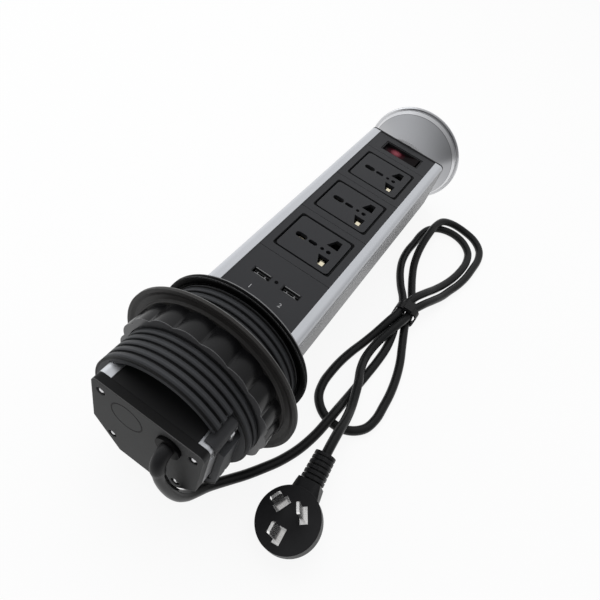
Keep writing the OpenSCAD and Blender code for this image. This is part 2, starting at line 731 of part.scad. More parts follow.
module live_busbar() {
  color("goldenrod") {
    strip(live_x, switch_low);
    leaves(wedge_x - grip_in, wedge_x + live_grip, live_x, grip_up, live_sink);
  }
}
module neutral_busbar() {
  color("goldenrod") {
    strip(neutral_x, strip_high);
    leaves(wedge_x - grip_in, wedge_x + neutral_grip, neutral_x, -neutral_up);
  }
}
module earth_busbar() {
  color("goldenrod") {
    strip(earth_x, strip_high);
    leaves(earth_slot_x - earth_grip, earth_slot_x + earth_grip, earth_x, 0);
  }
}

// Wires from the terminal block to the switch and the strips
block_h = 12;
block_y0 = -2;
block_y1 = 12;
block_half = 14;
wire_y = (block_y0 + block_y1) / 2;
live_wire_x = -3.5;
strip_mid = skirt_back + strip_t / 2;
block_top = tower_base + block_h;
wire_bend_low = tower_base + 50;
wire_bend_high = usb_up + 9;
wire_skin = 0.1;
module wire_run(x, a, b) {
  lean = atan2(b[0] - a[0], b[1] - a[1]);
  translate([x, a[0], a[1]]) rotate([-lean, 0, 0]) cylinder(h = norm(b - a), r = wire_r, $fn = small_fn);
}
module wire(x, y1, top) {
  stops = [[wire_y, block_top], [wire_y, wire_bend_low], [y1, wire_bend_high], [y1, top]];
  for (i = [0:2]) wire_run(x, stops[i], stops[i + 1]);
  for (i = [1, 2]) translate([x, stops[i][0], stops[i][1]]) sphere(wire_r + wire_skin, $fn = small_fn);
}
module live_wire() {
  color("saddlebrown") wire(live_wire_x, skirt_back + strip_t + wire_r, switch_low);
}
module neutral_wire() {
  color("steelblue") wire(neutral_x, strip_mid, strip_low);
}
module earth_wire() {
  color("yellowgreen") wire(earth_x, strip_mid, strip_low);
}
module terminal_block() {
  color("ivory") difference() {
    block(-block_half, block_half, block_y0, block_y1, tower_base, tower_base + block_h);
    for (x = [-block_half / 2, block_half / 2])
      block(x - 0.75, x + 0.75, block_y0 - 1, block_y0 + 4, tower_base + 2, tower_base + block_h + 1);
  }
}

// USB plate with its posts, receptacles, lamp and charger board
post_r = 2.5;
stake_r = 1.2;
post_x = board_w / 2 - 3;
board_low = usb_up - board_h / 2 + 1;
posts = [for (x = [-post_x, post_x], z = [board_low + 3, board_low + board_h - 3]) [x, z]];
module usb_plate() {
  color([0.22, 0.22, 0.24]) {
    upright(panel_front, panel_t) difference() {
      plate(tower_base, usb_top - plate_gap / 2);
      for (s = [-1, 1]) translate([s * usb_x, usb_up]) square([usb_w, usb_h], center = true);
      translate([lamp_x, usb_up + lamp_up]) circle(lamp_r + 0.05, $fn = small_fn);
    }
    for (p = posts) {
      along_y(p[0], panel_rear, p[1], usb_back - panel_rear, post_r);
      along_y(p[0], panel_rear, p[1], usb_back - panel_rear + board_t + 0.8, stake_r);
    }
  }
}
module usb_box(g, y0, y1) {
  w = usb_w / 2 - usb_gap - g;
  h = usb_h / 2 - usb_gap - g;
  for (s = [-1, 1]) translate([s * usb_x, 0, usb_up]) block(-w, w, y0, y1, -h, h);
}
usb_floor = 0.8;
module usb_shells() {
  color("lightgray") difference() {
    usb_box(0, panel_front + usb_gap, usb_back);
    usb_box(usb_wall, panel_front - 1, usb_back - usb_floor);
  }
}
module usb_tongues() {
  tongue_up = 0.5;
  tongue_half = usb_w / 2 - 1.2;
  color("whitesmoke") for (s = [-1, 1]) translate([s * usb_x, 0, usb_up])
    block(-tongue_half, tongue_half, panel_front + 1.5, usb_back - usb_floor,
      tongue_up, tongue_up + tongue_t - 0.4);
}
module indicator_lens() {
  lens_t = 1;
  color("lightgreen") {
    along_y(lamp_x, panel_front - 0.2, usb_up + lamp_up, panel_t + 0.2 + lens_t, lamp_r);
    along_y(lamp_x, panel_rear, usb_up + lamp_up, lens_t, lamp_r + 0.8);
  }
}
module charger_board() {
  color("seagreen") upright(usb_back, board_t) difference() {
    translate([-board_w / 2, board_low]) square([board_w, board_h]);
    for (p = posts) translate(p) circle(stake_r + 0.1, $fn = small_fn);
  }
}
module charger_coil() {
  coil_x = 11.5;
  coil_half = 5;
  color("dimgray") translate([coil_x, usb_back + board_t, usb_up]) {
    block(-coil_half, coil_half, 0, 9, -7, 7);
    block(-coil_half - 1, coil_half + 1, 2.5, 6.5, -5, 5);
  }
}

// Switch: frame behind its plate and a rocker on two pins
switch_up = (switch_base + panel_top) / 2 - 0.6;
body_over = 1;
frame_gap = 0.1;
frame_step = 0.4;
cavity_w = window_w - 2 * frame_gap - 2 * switch_wall;
cavity_h = window_h - 2 * frame_gap - 2 * switch_wall;
body_h = window_h + 3;
switch_low = switch_up - body_h / 2;
pivot_y = panel_rear + 3.5;
rocker_gap = 0.2;
rocker_half = cavity_w / 2 - 0.8;
rocker_h = cavity_h - 2 * rocker_gap;
face_d = 3.9;
pin_l = 2.2;
module switch_plate() {
  color([0.22, 0.22, 0.24]) upright(panel_front, panel_t) difference() {
    plate(switch_base + plate_gap / 2, panel_top);
    translate([switch_x, switch_up]) square([window_w, window_h], center = true);
  }
}
module switch_body() {
  floor_t = 3;
  color([0.1, 0.1, 0.11]) translate([switch_x, 0, switch_up]) difference() {
    union() {
      block(-window_w / 2 - body_over, window_w / 2 + body_over, panel_rear, panel_rear + switch_depth,
        -body_h / 2, body_h / 2);
      block(-window_w / 2 + frame_gap, window_w / 2 - frame_gap, panel_front + frame_step, panel_rear + 1,
        -window_h / 2 + frame_gap, window_h / 2 - frame_gap);
    }
    block(-cavity_w / 2, cavity_w / 2, panel_front - 1, panel_rear + switch_depth - floor_t,
      -cavity_h / 2, cavity_h / 2);
    translate([0, pivot_y, -body_h]) cylinder(h = 2 * body_h, r = pivot_r + pivot_gap, $fn = small_fn);
  }
}
module rocker() {
  drop = rocker_half * tan(rocker_tilt);
  color("darkred") translate([switch_x, pivot_y, switch_up]) rotate([0, 0, -rocker_tilt]) {
    translate([0, 0, -rocker_h / 2]) linear_extrude(rocker_h)
      polygon([[-rocker_half, -face_d - drop], [0, -face_d], [rocker_half, -face_d - drop],
        [rocker_half, 2 - face_d], [4, 2.5], [-4, 2.5], [-rocker_half, 2 - face_d]]);
    translate([0, 0, -rocker_h / 2 - pin_l]) cylinder(h = rocker_h + 2 * pin_l, r = pivot_r, $fn = small_fn);
  }
}

// Foot plate, its blank, and the cord's ring and elbow
blank_at = [-11.4, -10.3];
blank_r = 9.2;
blank_t = 3;
blank_ledge = 1.7;
stem_r = elbow_r - 0.05;
module foot_cap() {
  color([0.25, 0.25, 0.26]) difference() {
    translate([0, 0, foot_base]) linear_extrude(foot_t) tower_outline();
    translate([0, 0, foot_base - 1]) linear_extrude(foot_t + 2) port_holes(port_hole_r + screw_slack);
    translate([0, 0, foot_base - 1]) linear_extrude(1 + foot_sink + foot_head_h)
      port_holes(screw_head_r + screw_slack);
    translate([blank_at[0], blank_at[1], foot_base - 1]) cylinder(h = 1 + blank_t, r = blank_r + 0.1);
    translate([blank_at[0], blank_at[1], foot_base]) cylinder(h = foot_t + 1, r = blank_r - blank_ledge);
    translate([gland_x, gland_y, foot_base - 1]) cylinder(h = foot_t + 2, r = stem_r + stem_gap);
  }
}
module knockout_disc() {
  color([0.25, 0.25, 0.26]) translate([blank_at[0], blank_at[1], foot_base])
    cylinder(h = blank_t, r = blank_r);
}
module cord_gland() {
  color([0.15, 0.15, 0.16]) translate([gland_x, gland_y, foot_base - gland_t]) difference() {
    cylinder(h = gland_t, r = gland_r);
    translate([0, 0, -1]) cylinder(h = gland_t + 2, r = stem_r + stem_gap);
  }
}
module strain_relief() {
  collar_t = 1.5;
  color([0.15, 0.15, 0.16]) translate([gland_x, gland_y, foot_base - gland_t]) {
    cylinder(h = gland_t + foot_t + collar_t, r = stem_r);
    translate([0, 0, gland_t + foot_t]) cylinder(h = collar_t, r = stem_r + 1.4);
    rotate([0, 0, -bend_lean]) {
      translate([0, bend_r, 0]) rotate([-90, 0, -90]) rotate_extrude(angle = 90)
        translate([bend_r, 0]) circle(elbow_r, $fn = small_fn);
      translate([0, bend_r, -bend_r]) rotate([-90, 0, 0]) cylinder(h = nozzle_l, r1 = elbow_r, r2 = nozzle_r);
    }
  }
}

// Spring leaf in the side wall: a fixed root, its rivet and the tongue that gives way
module leaf_root() {
  color("gainsboro") difference() {
    block(leaf_x, leaf_x + detent_t, leaf_y - detent_w / 2, leaf_y + detent_w / 2,
      leaf_low, leaf_line - leaf_cut);
    rivet_hole(leaf_x - 1);
  }
}
module detent_leaf() {
  rise = leaf_len * tan(detent_rise);
  nose_at = 0.7;
  color("gainsboro") upright(leaf_y - detent_w / 2, detent_w) {
    polygon([[leaf_x, leaf_line], [leaf_x + detent_t, leaf_line], [leaf_x + detent_t + rise, leaf_end],
      [leaf_x + rise, leaf_end]]);
    translate([leaf_x + detent_t / 2, leaf_line]) circle(detent_t / 2, $fn = small_fn);
    intersection() {
      translate([leaf_x + detent_t / 2 + rise * nose_at, leaf_line + leaf_len * nose_at])
        circle(detent_nose, $fn = small_fn);
      polygon([[leaf_x + detent_t / 2, leaf_line], [leaf_x + detent_t + 9, leaf_line],
        [leaf_x + detent_t + 9, leaf_end], [leaf_x + detent_t / 2 + rise, leaf_end]]);
    }
  }
}
module leaf_rivet() {
  stem = leaf_x + detent_t - pocket_x + 2;
  color("silver") translate([pocket_x - 2, leaf_y, rivet_up]) rotate([0, 90, 0]) {
    cylinder(h = stem, r = rivet_r, $fn = small_fn);
    translate([0, 0, stem]) cylinder(h = 0.5, r = rivet_r + 0.8, $fn = small_fn);
  }
}

// Desk collar: bezel, threaded sleeve with a flat behind its slot, washer and scalloped nut
module bezel() {
  color([0.08, 0.08, 0.09]) rotate_extrude() difference() {
    union() {
      square_from(lip_r, bezel_r, 0, bezel_h - bezel_edge);
      square_from(lip_r, bezel_r - bezel_edge, 0, bezel_h);
      translate([bezel_r - bezel_edge, bezel_h - bezel_edge]) circle(bezel_edge, $fn = small_fn);
    }
    square_from(lip_r - 1, root_r + seat_gap, -1, bezel_seat);
  }
}
slot_shift = 4.25;
slot_back = leaf_y - slot_shift + slot_w / 2;
flat_out = 4.1;
flat_x = half_w + flat_out;
flat_end = sqrt(root_r * root_r - flat_x * flat_x) - 0.5;
shelf_t = 3;
module threaded_sleeve() {
  grooves = floor((sleeve_len - spigot_h - thread_gap) / thread_pitch);
  color([0.12, 0.12, 0.13]) difference() {
    union() {
      rotate_extrude() difference() {
        union() {
          square_from(bore_r, crest_r, -sleeve_len, 0);
          square_from(bore_r, root_r, -spigot_h, bezel_seat);
        }
        for (i = [0:grooves]) translate([0, -spigot_h - thread_gap - i * thread_pitch])
          square_from(root_r, crest_r + 1, 0, thread_gap);
      }
      block(half_w, flat_x, slot_back - 1, flat_end, -sleeve_len, slot_top);
      intersection() {
        block(half_w, root_r, slot_back, flat_end, slot_top - shelf_t / 2, slot_top + shelf_t / 2);
        translate([0, 0, -sleeve_len]) cylinder(r = (bore_r + root_r) / 2, h = sleeve_len);
      }
    }
    translate([0, 0, -sleeve_len - 1]) linear_extrude(sleeve_len + bezel_seat + 2) tower_outline(corner_gap);
    block(half_w - 4.5, crest_r + 5, slot_back - slot_w, slot_back, -sleeve_len - 1, slot_top);
    block(flat_x, crest_r + 5, slot_back - 1, crest_r, -sleeve_len - 1, slot_top);
  }
}
module clamp_washer() {
  inner = crest_r + nut_gap + 0.1;
  color([0.2, 0.19, 0.18]) rotate_extrude()
    polygon([[inner, washer_top], [washer_r, washer_top], [washer_r, washer_top - washer_t],
      [washer_r - 2, washer_top - washer_t], [washer_r - 4, washer_top - washer_t + dish_d],
      [hub_r + 0.8, washer_top - washer_t + dish_d], [hub_r, washer_base], [inner, washer_base]]);
}
lobe_r = (rib_w * rib_w / 4 + rib_d * rib_d) / (2 * rib_d);
module clamp_nut() {
  color([0.12, 0.12, 0.13]) translate([0, 0, nut_top - nut_h]) linear_extrude(nut_h) difference() {
    union() {
      circle(nut_r);
      for (k = [0:nut_ribs - 1]) rotate(k * 360 / nut_ribs)
        translate([nut_r + rib_d - lobe_r, 0]) circle(lobe_r, $fn = small_fn);
    }
    circle(crest_r + nut_gap);
  }
}

// Cord, tie and plug, drawn where they lie
module cord_part(a, b) {
  color([0.12, 0.12, 0.12])
    tube(part_of(cord_line, a, b), part_of(cord_head, a, b), part_of(cord_side, a, b), cord_d / 2, 10);
}
module cord_lead() cord_part(0, lead_last);
module cord_hank() cord_part(lead_last, hank_last);
module cord_tail() cord_part(hank_last, cord_last);
tie_at = [69.6, 34, 8.4];
tie_in = [15.2, 13.2];
tie_t = 1.2;
tie_w = 6;
tie_head = [7, 8, 3.6];
module cable_tie() {
  color([0.1, 0.1, 0.1]) {
    translate([tie_at[0], 0, tie_at[2]]) upright(tie_at[1] - tie_w / 2, tie_w) difference() {
      round_rect(tie_in[0] + 2 * tie_t, tie_in[1] + 2 * tie_t, cord_d / 2 + tie_t);
      round_rect(tie_in[0], tie_in[1], cord_d / 2);
    }
    translate(tie_at + [-tie_head[0] / 2, -tie_head[1] / 2, tie_in[1] / 2 + tie_t / 2]) cube(tie_head);
  }
}
module plug_place() {
  translate(plug_at) rotate(plug_lean) children();
}
plug_neck_w = 17.8;
plug_neck_t = 12.6;
boot_w = 14;
boot_t = 12;
boot_ease = 0.2;
rib_deep = 1.4;
module plug_neck() {
  straight = plug_r - 3;
  intersection() {
    translate([0, 0, -boot_drop - plug_neck_t / 2]) linear_extrude(plug_neck_t)
      polygon([[-plug_neck_w / 2, 0], [plug_neck_w / 2, 0], [plug_neck_w / 2, straight],
        [boot_w / 2, neck_out], [-boot_w / 2, neck_out], [-plug_neck_w / 2, straight]]);
    translate([0, 0, -boot_drop]) upright(0, neck_out) round_rect(plug_neck_w, plug_neck_t, 5);
  }
}
module plug_body() {
  color([0.1, 0.1, 0.1]) plug_place() {
    rotate_extrude() {
      square_from(0, plug_r - plug_round, -plug_t, 0);
      square_from(0, plug_r, plug_round - plug_t, 0);
      intersection() {
        translate([plug_r - plug_round, plug_round - plug_t]) circle(plug_round, $fn = 80);
        square_from(plug_r - plug_round, plug_r, -plug_t, plug_round - plug_t);
      }
    }
    plug_neck();
  }
}
rib_corner = boot_t / 2 - boot_ease * boot_ribs / 2 - 0.3;
module plug_boot() {
  rib = boot_l / boot_ribs;
  groove = 0.38;
  color([0.1, 0.1, 0.1]) plug_place() translate([0, neck_out, -boot_drop]) {
    upright(0, boot_l) round_rect(boot_w - 2 * rib_deep, boot_t - 2 * rib_deep, boot_t / 2 - rib_deep - 0.3);
    for (i = [0:boot_ribs - 1]) upright((i + groove) * rib, (1 - groove) * rib)
      round_rect(boot_w - boot_ease * i, boot_t - boot_ease * i, rib_corner);
  }
}
module blade(l) {
  tip = 1.4;
  rotate([90, 0, 0]) translate([0, 0, -blade_t / 2]) linear_extrude(blade_t)
    polygon([[-blade_w / 2, 0], [blade_w / 2, 0], [blade_w / 2, l - tip], [blade_w / 2 - 0.8, l],
      [0.8 - blade_w / 2, l], [-blade_w / 2, l - tip]]);
}
blade_x = 6.85;
blade_y = 5.5;
earth_y = -9.4;
pad_w = 9.2;
pad_d = 4.4;
pad_t = 0.3;
module blade_pad() block(-pad_w / 2, pad_w / 2, -pad_d / 2, pad_d / 2, 0, pad_t);
module plug_pins() {
  color("gainsboro") plug_place() for (s = [-1, 1])
    translate([s * blade_x, blade_y, 0]) rotate([0, 0, 90 + s * 30]) {
      blade(blade_l);
      blade_pad();
    }
}
module plug_earth_pin() {
  color("gainsboro") plug_place() translate([0, earth_y, 0]) rotate([0, 0, 90]) {
    blade(earth_l);
    blade_pad();
  }
}

lying() tower_shell();
lying() top_plate();
lying() cap();
lying() cap_screws();
lying() top_screws();
lying() switch_plate();
lying() switch_body();
lying() rocker();
lying() socket_plate_1();
lying() socket_plate_2();
lying() socket_plate_3();
lying() socket_insert_1();
lying() socket_insert_2();
lying() socket_insert_3();
lying() live_busbar();
lying() neutral_busbar();
lying() earth_busbar();
lying() usb_plate();
lying() usb_shells();
lying() usb_tongues();
lying() indicator_lens();
lying() charger_board();
lying() charger_coil();
lying() terminal_block();
lying() live_wire();
lying() neutral_wire();
lying() earth_wire();
lying() foot_cap();
lying() foot_screws();
lying() knockout_disc();
lying() cord_gland();
lying() strain_relief();
lying() leaf_root();
lying() detent_leaf();
lying() leaf_rivet();
lying() bezel();
lying() threaded_sleeve();
lying() clamp_washer();
lying() clamp_nut();
cord_lead();
cord_hank();
cord_tail();
cable_tie();
plug_body();
plug_boot();
plug_pins();
plug_earth_pin();
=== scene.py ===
import math
from collections import namedtuple

import bpy
from mathutils import Matrix, Vector


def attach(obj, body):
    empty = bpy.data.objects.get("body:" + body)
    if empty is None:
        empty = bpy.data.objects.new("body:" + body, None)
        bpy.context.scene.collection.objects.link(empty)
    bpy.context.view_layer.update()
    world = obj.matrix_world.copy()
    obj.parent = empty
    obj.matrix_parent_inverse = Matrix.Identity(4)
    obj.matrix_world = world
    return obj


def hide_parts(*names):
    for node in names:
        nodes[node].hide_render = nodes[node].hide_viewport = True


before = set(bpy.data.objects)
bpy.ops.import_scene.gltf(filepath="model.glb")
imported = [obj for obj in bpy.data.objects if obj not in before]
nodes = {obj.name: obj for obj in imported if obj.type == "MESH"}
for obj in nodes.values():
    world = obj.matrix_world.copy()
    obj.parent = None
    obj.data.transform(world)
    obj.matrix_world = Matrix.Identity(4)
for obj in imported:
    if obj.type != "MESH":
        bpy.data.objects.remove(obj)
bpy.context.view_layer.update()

scene = bpy.context.scene
MM = 0.001

# Frame of the lying tower: x across the panel, y into it, h up the tower from the desk top's level
TILT = math.radians(3.04592)
TILT_S, TILT_C = math.sin(TILT), math.cos(TILT)
LIFT, CENTRE_Y = 54.1993, -97.2105
UP = Vector((0, TILT_C, -TILT_S))
OUT = Vector((0, TILT_S, TILT_C))
RIGHT = Vector((1, 0, 0))


def at(x, y, h):
    """A point in millimetres of the tower's frame, as a place in the scene."""
    return Vector((x, CENTRE_Y - y * TILT_S + h * TILT_C, LIFT - y * TILT_C - h * TILT_S)) * MM


def levels(name):
    """Heights of a node's points in the tower's frame."""
    return [(v.co - at(0, 0, 0)).dot(UP) / MM for v in nodes[name].data.vertices]


def middle(values):
    values = list(values)
    return (min(values) + max(values)) / 2


def turn_to(x_axis, y_axis, z_axis):
    return Matrix((x_axis, y_axis, z_axis)).transposed().to_4x4()


def circle(r, degrees):
    return r * math.cos(math.radians(degrees)), r * math.sin(math.radians(degrees))


def link_in(name, data):
    """A new object in the scene."""
    o = bpy.data.objects.new(name, data)
    scene.collection.objects.link(o)
    return o


# Camera
CAM_POS = Vector((67.012, -239.532, 318.6)) * MM
CAM_RIGHT = Vector((0.820281, 0.527745, 0.220507))
CAM_DOWN = Vector((0.547501, -0.612966, -0.569663))
CAM_FORWARD = Vector((-0.165474, 0.588012, -0.791745))
cam_data = bpy.data.cameras.new("camera")
cam_data.lens = 32.69
cam_data.sensor_width = 36
cam_data.clip_start = 0.01
cam = link_in("camera", cam_data)
cam.matrix_world = Matrix.Translation(CAM_POS) @ turn_to(CAM_RIGHT, -CAM_DOWN, -CAM_FORWARD)
scene.camera = cam

# Cord: the route of the solids, in millimetres
CORD_D = 6.2
CORD_LOW = 3.3
CORD_EXIT = (16.0076, -175.795, 64.1035)
EXIT_DIR = (0.2113, -0.0519, -0.9760)
BOOT_TIP = (76.257, -100.474, 19.3426)
BOOT_DIR = (-0.09326, 0.97723, 0.19056)
LEAD = [(20.1, -175.4, 49), (22.9, -173.7, 40.4), (25.6, -170.9, 32.4), (27.9, -166.4, 25.2),
        (29.8, -160.4, 19.2), (32, -153.8, 13.9), (35.3, -147, 9.2), (39.4, -140, 5.7),
        (44.4, -132.4, 3.8), (49.9, -123.6, 3.3), (56, -113, 3.3), (61.2, -101, 4.6),
        (64.6, -88.6, 7.4), (66.3, -76.5, 9.9), (67.2, -67, 9.8), (68.2, -55, 5.8),
        (69.2, -43.5, 3.4), (70.6, -28, 3.3), (71.8, -13, 3.3), (72, 2, 3.3), (70, 16, 3.8)]
PASS_1 = [(66.4, 29, 5), (65.9, 38, 5)]
PASS_2 = [(66.1, 38, 11.8), (65.1, 29, 11.8)]
PASS_3 = [(74.2, 28, 5), (72.8, 38, 5)]
PASS_4 = [(73, 38, 11.8), (72, 29, 11.8)]
INNER_UP = [(61.8, 50, 4.3), (54.6, 61.5, 3.3), (48.4, 73.2, 3.3), (44.5, 85.2, 3.3), (43.1, 98.2, 3.3),
            (43.7, 111, 3.3)]
INNER_DOWN = [(88.4, 113, 3.3), (86.4, 100.2, 3.3), (82.8, 87.4, 3.8), (78.4, 74.9, 5.8),
              (73.8, 62.6, 9.4), (69.2, 50.2, 11.7)]
LOW_DOWN = [(62.6, 18, 10), (59.6, 6, 5.8), (56.4, -6, 3.5), (53.2, -18, 3.3), (50.9, -30, 3.3),
            (49.8, -41.5, 3.3)]
LOW_UP = [(91.4, -41, 3.3), (90.8, -28.8, 3.3), (88.8, -15.5, 3.3), (85.4, -2, 3.3), (80.6, 11, 3.6)]
OUTER_UP = [(69.6, 50, 4.4), (64.2, 62.6, 3.4), (58.6, 75.2, 3.7), (54, 87.6, 4.8), (51.2, 100.2, 6.8),
            (50, 112, 9.1), (49.8, 123.5, 10.3)]
OUTER_DOWN = [(95.7, 121.5, 3.3), (94.8, 108.5, 3.3), (92.5, 96, 3.3), (89, 84, 3.9), (85.9, 72.5, 5.6),
              (81.7, 60.7, 8.8), (77.2, 49.4, 11.3)]
TAIL = [(69.3, 17.5, 11.2), (66.1, 6, 9), (63.9, -6, 6.3), (63.6, -18, 5.6), (65.4, -29.5, 8),
        (68.9, -40.5, 10.4), (72, -51.5, 10.6), (74.1, -62, 12.4), (75, -72.6, 16.6), (75.1, -83.6, 19.9)]
# Folds of the hank: middle, radius, side of the fold, heights along it
FLAT = (CORD_LOW,) * 7
INNER_FOLD = ((66.4, 124.6), 22.2, 1, FLAT)
LOW_FOLD = ((70.6, -51.8), 20.8, -1, FLAT)
OUTER_FOLD = ((73, 134.4), 22.9, 1, (10.4, 9.8, 6.4, 3.7, CORD_LOW, CORD_LOW, CORD_LOW))
STEPS_PER_POINT = 8


def fold(mid, r, side, heights):
    """Half circle of points from the left to the right."""
    step = 180 / (len(heights) - 1)
    arc = [circle(r, step * k) for k in range(len(heights))]
    return [(mid[0] - x, mid[1] + side * y, z) for (x, y), z in zip(arc, heights)]


def smooth_line(points, steps):
    """Catmull-Rom curve through the points."""
    p = [Vector(q) for q in points]
    out = []
    for i in range(len(p) - 1):
        a, b, c, d = p[max(i - 1, 0)], p[i], p[i + 1], p[min(i + 2, len(p) - 1)]
        for k in range(steps):
            t = k / steps
            out.append(0.5 * (2 * b + (c - a) * t + (2 * a - 5 * b + 4 * c - d) * t * t
                              + (3 * b - a - 3 * c + d) * t * t * t))
    return out + [p[-1]]


route = [CORD_EXIT, Vector(CORD_EXIT) + CORD_D * Vector(EXIT_DIR)] + LEAD + PASS_1
route += INNER_UP + fold(*INNER_FOLD) + INNER_DOWN + PASS_2
route += LOW_DOWN + fold(*LOW_FOLD) + LOW_UP + PASS_3
route += OUTER_UP + fold(*OUTER_FOLD) + OUTER_DOWN + PASS_4
route += TAIL + [Vector(BOOT_TIP) + CORD_D * Vector(BOOT_DIR), BOOT_TIP]
line = smooth_line(route, STEPS_PER_POINT)

cord_curve = bpy.data.curves.new("mains_cord", "CURVE")
cord_curve.dimensions = "3D"
cord_curve.bevel_depth = 1.0
cord_curve.bevel_resolution = 7
cord_curve.use_fill_caps = True
spline = cord_curve.splines.new("POLY")
spline.points.add(len(line) - 1)
for point, place in zip(spline.points, line):
    point.co = (*(place * MM), 1)
    point.radius = CORD_D / 2 * MM
spline.use_smooth = True
cord = link_in("mains_cord", cord_curve)
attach(cord, "tower")
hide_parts("cord_lead", "cord_hank", "cord_tail")


# Shader nodes
def feed(tree, socket, value):
    """Link an output to a socket, or set the socket to a constant."""
    if isinstance(value, bpy.types.NodeSocket):
        tree.links.new(value, socket)
    else:
        socket.default_value = value


def node(tree, kind, **values):
    """A new node. Names that begin with in_ are its inputs."""
    n = tree.nodes.new(kind)
    for key, value in values.items():
        if key.startswith("in_"):
            feed(tree, n.inputs[key[3:].replace("_", " ")], value)
        else:
            setattr(n, key, value)
    return n


def calc(tree, operation, *values, clamp=False):
    n = node(tree, "ShaderNodeMath", operation=operation, use_clamp=clamp)
    for socket, value in zip(n.inputs, values):
        feed(tree, socket, value)
    return n.outputs["Value"]


def vector_calc(tree, operation, *values, gives="Value"):
    n = node(tree, "ShaderNodeVectorMath", operation=operation)
    for socket, value in zip(n.inputs, values):
        feed(tree, socket, value)
    return n.outputs[gives]


def ramp(tree, value, **limits):
    return node(tree, "ShaderNodeMapRange", in_Value=value, **limits).outputs["Result"]


def blend(tree, factor, under, over, kind="MIX"):
    n = node(tree, "ShaderNodeMix", data_type="RGBA", blend_type=kind)
    feed(tree, n.inputs["Factor"], factor)
    feed(tree, n.inputs["A"], under)
    feed(tree, n.inputs["B"], over)
    return n.outputs["Result"]


def rgba(colour, k=1):
    return (*(min(v * k, 1) for v in colour), 1)


# Layers of a finish; the sides, spots and bands used below paint light and shade into the colour. Heights
# are in millimetres of the tower's frame, other lengths in metres
# Side: a colour by the cosine between a face's normal and way, none at start and whole at full
Side = namedtuple("Side", "way start full colour below", defaults=(None,))
# Spot: a round tint, whole within near and gone at far
Spot = namedtuple("Spot", "place near far colour")
# Band: a colour between two heights
Band = namedtuple("Band", "low high colour")
# Ridges: the height of one crest, the pitch, the depth and the radius that they begin at
Ridges = namedtuple("Ridges", "crest pitch depth root_r")


# Painted edge highlights, partly wear: the colour edge is laid where the softened normal turns from the
# face's own, broken up by the blotches
def edge_highlight_and_wear(t, top, soft, patches, colour):
    face = node(t, "ShaderNodeNewGeometry").outputs["Normal"]
    facing = vector_calc(t, "DOT_PRODUCT", soft, face)
    edge_share = ramp(t, facing, in_From_Min=1.0, in_From_Max=0.8, in_To_Max=0.8)
    return blend(t, calc(t, "MULTIPLY", edge_share, patches), top, rgba(colour))


def turned_faces(t, height, side):
    """Share of a side's colour, only below a height if one is given."""
    face = node(t, "ShaderNodeNewGeometry").outputs["Normal"]
    facing = vector_calc(t, "DOT_PRODUCT", face, side.way)
    share = ramp(t, facing, in_From_Min=side.start, in_From_Max=side.full)
    if side.below is None:
        return share
    low = calc(t, "LESS_THAN", height, at(0, 0, side.below).dot(UP))
    return calc(t, "MULTIPLY", share, low)


def spotted(t, top, place, spot):
    away = vector_calc(t, "DISTANCE", place, spot.place)
    share = ramp(t, away, in_From_Min=spot.far, in_From_Max=spot.near)
    return blend(t, share, top, rgba(spot.colour))


def banded(t, top, height, band):
    mid = at(0, 0, (band.low + band.high) / 2).dot(UP)
    share = calc(t, "COMPARE", height, mid, (band.high - band.low) / 2 * MM)
    return blend(t, share, top, rgba(band.colour))


def ridged(t, top, normal, place, height, ridges):
    """Rounded ridges with painted shade in their gaps, on the outside of the sleeve alone."""
    turn = 2 * math.pi / ridges.pitch
    phase = calc(t, "MULTIPLY_ADD", height, turn, -turn * at(0, 0, ridges.crest).dot(UP))
    wave = calc(t, "COSINE", phase)
    from_axis = vector_calc(t, "SUBTRACT", place, at(0, 0, 0), gives="Vector")
    across = vector_calc(t, "CROSS_PRODUCT", from_axis, UP, gives="Vector")
    on_thread = calc(t, "GREATER_THAN", vector_calc(t, "LENGTH", across), ridges.root_r)
    swell = node(t, "ShaderNodeBump", in_Strength=1.0, in_Distance=ridges.depth,
                 in_Height=calc(t, "MULTIPLY", wave, on_thread), in_Normal=normal)
    # Painted shade: the colour darkens in the gaps between the ridges
    gap_shade = ramp(t, wave, in_From_Min=-0.8, in_From_Max=-0.35, in_To_Min=0.04)
    return blend(t, on_thread, top, gap_shade, "MULTIPLY"), swell.outputs["Normal"]


